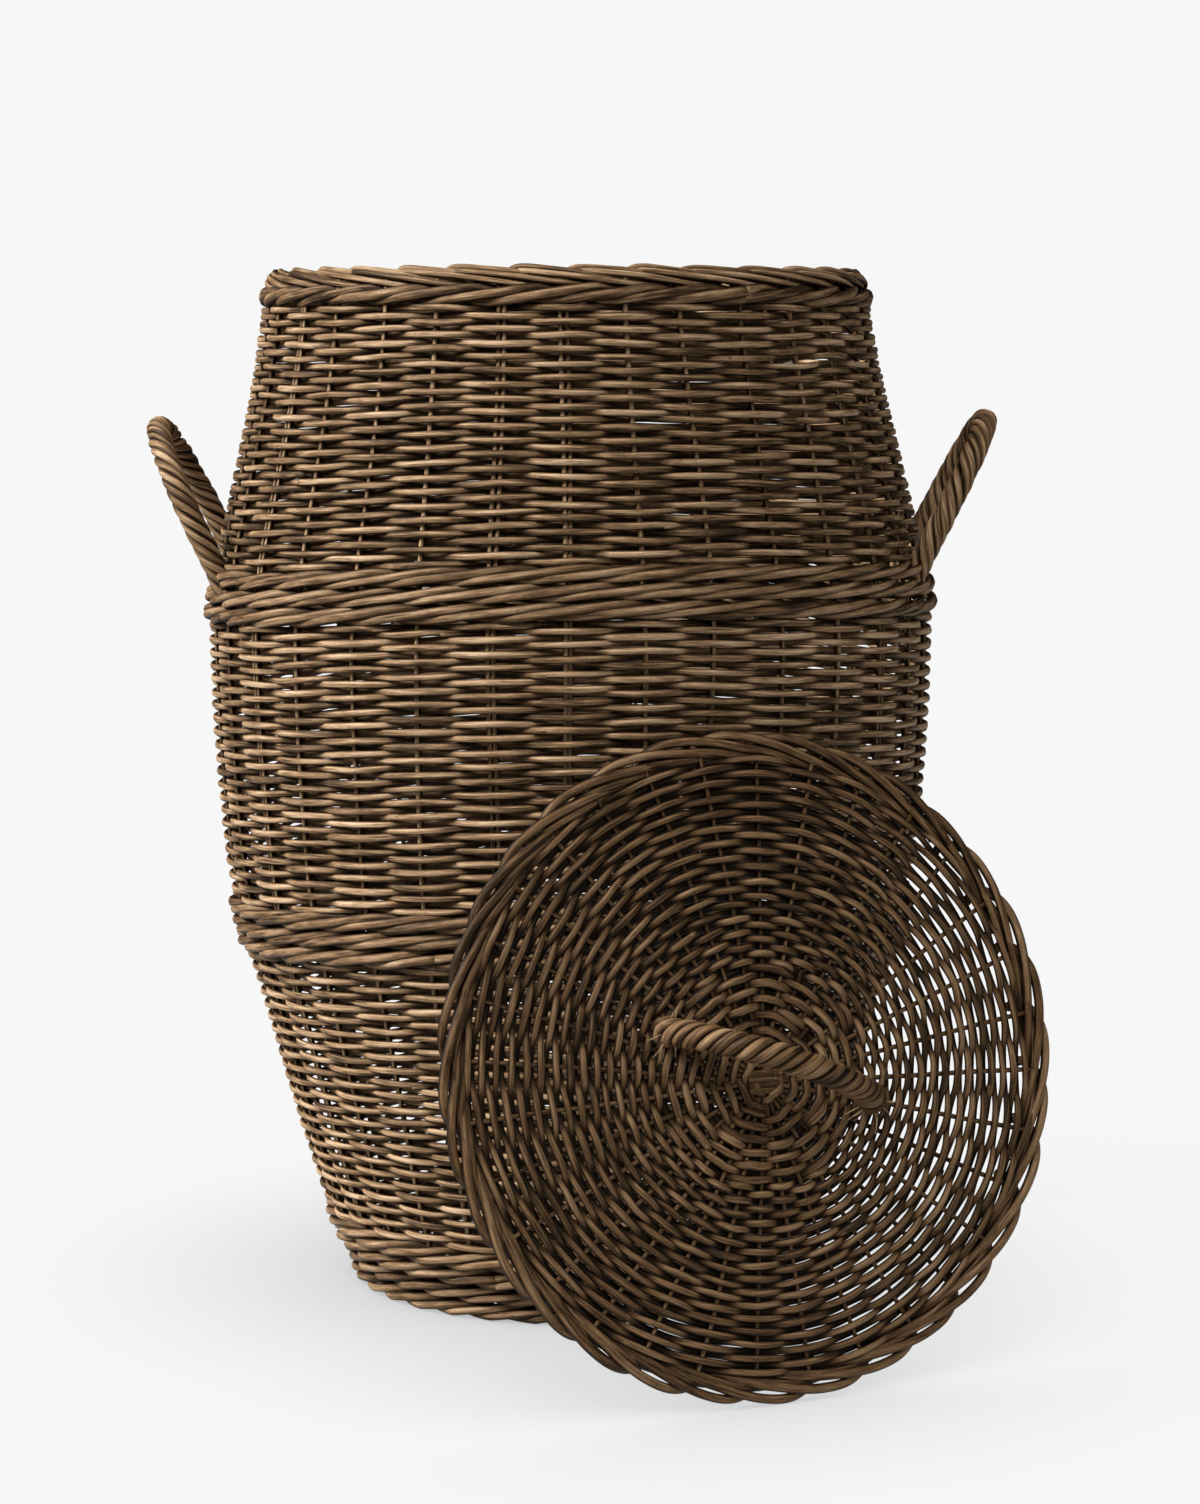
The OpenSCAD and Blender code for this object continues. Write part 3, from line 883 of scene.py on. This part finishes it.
def add_sun(name, turn, height, strength, softness):
    """A wide soft light from far away. turn is its angle from the front, and negative to the left."""
    data = bpy.data.lights.new(name, "SUN")
    data.energy = strength
    data.angle = math.radians(softness)
    light = bpy.data.objects.new(name, data)
    turn, height = math.radians(turn), math.radians(height)
    away = Vector((math.sin(turn) * math.cos(height), -math.cos(turn) * math.cos(height), math.sin(height)))
    light.rotation_euler = away.to_track_quat("Z", "Y").to_euler()
    light.location = away * 4
    bpy.context.scene.collection.objects.link(light)
    return strength * math.sin(height) / math.pi


BACKDROP = 0.930  # brightness of the plain backdrop
SKY = 0.06  # brightness of the sky that lights the hamper from all round
FLOOR_SHARE = 0.025  # how much of the light on the floor shows, and so how deep the cast shadows are
PAINTED_CONTACT_SHADOW = 0.45  # how deep the painted shadow in the floor's glow is close to the object
PAINTED_SHADOW_REACH = 0.22


def add_world():
    """An even pale backdrop, and a dimmer sky for the light."""
    world = bpy.data.worlds.new("studio")
    world.use_nodes = True
    tree = world.node_tree
    tree.nodes.clear()
    seen = tree.nodes.new("ShaderNodeBackground")
    seen.inputs["Color"].default_value = (BACKDROP, BACKDROP, BACKDROP, 1)
    lit = tree.nodes.new("ShaderNodeBackground")
    lit.inputs["Color"].default_value = (SKY, SKY, SKY, 1)
    path = tree.nodes.new("ShaderNodeLightPath")
    mix = tree.nodes.new("ShaderNodeMixShader")
    out = tree.nodes.new("ShaderNodeOutputWorld")
    tree.links.new(path.outputs["Is Camera Ray"], mix.inputs[0])
    tree.links.new(lit.outputs[0], mix.inputs[1])
    tree.links.new(seen.outputs[0], mix.inputs[2])
    tree.links.new(mix.outputs[0], out.inputs[0])
    bpy.context.scene.world = world


def add_floor(light_on_floor):
    """A round pale floor as bright as the backdrop, which takes faint soft shadows, and a painted shadow in
    its glow close to the object.
    """
    radius, corners = 1.8, 96
    turn = np.arange(corners) * FULL_TURN / corners
    rim = np.stack([radius * np.cos(turn), radius * np.sin(turn), 0 * turn], axis=-1)
    mesh = bpy.data.meshes.new("floor")
    mesh.from_pydata(rim.tolist(), [], [list(range(corners))])
    n = Nodes("floor_paper")
    glow = BACKDROP - FLOOR_SHARE * light_on_floor
    paper = n.add("BsdfDiffuse", {"Color": (FLOOR_SHARE, FLOOR_SHARE, FLOOR_SHARE, 1)})
    # Painted shadow: ambient occlusion darkens the floor's glow close to the object.
    near = n.add("AmbientOcclusion", {"Distance": PAINTED_SHADOW_REACH}, samples=8)
    shade = n.math("MULTIPLY_ADD", near.outputs["AO"], PAINTED_CONTACT_SHADOW * glow, (1 - PAINTED_CONTACT_SHADOW) * glow)
    own = n.add("Emission", {"Strength": shade})
    both = n.add("AddShader", {0: paper.outputs[0], 1: own.outputs[0]})
    n.add("OutputMaterial", {"Surface": both.outputs[0]})
    mesh.materials.append(n.material)
    floor = bpy.data.objects.new("floor", mesh)
    bpy.context.scene.collection.objects.link(floor)


def add_studio():
    add_camera()
    add_world()
    key = add_sun("key_left", -78, 36, 7.1, 28)
    front = add_sun("front", -20, 54, 2.0, 16)
    fill = add_sun("fill_right", 42, 34, 0.8, 40)
    add_floor(key + front + fill + SKY)
    bpy.context.scene.view_settings.view_transform = "Standard"


# ---------------------------------------------------------------- assembly

add_studio()
MATS = make_materials()
plain_weave("lower_weave_rods", 11, MATS["weave"], "lower_weave")
plain_weave("middle_weave_rods", 12, MATS["weave"], "middle_weave")
plain_weave("upper_weave_rods", 13, MATS["weave"], "upper_weave")
wale("foot_band_rods", 14, MATS["band"], "foot_band", 4, inset=0.0034)
wale("lower_band_rods", 15, MATS["band"], "lower_band", 3)
wale("upper_band_rods", 16, MATS["band"], "upper_band", 3)
wale("rim_band_rods", 17, MATS["rim"], "rim_band", 1, inset=0.0050)
side_stakes(MATS["stake"])
rolled_border(MATS["rim"])
base_pieces(MATS)
lid_pieces(MATS)
handle_pieces(MATS)
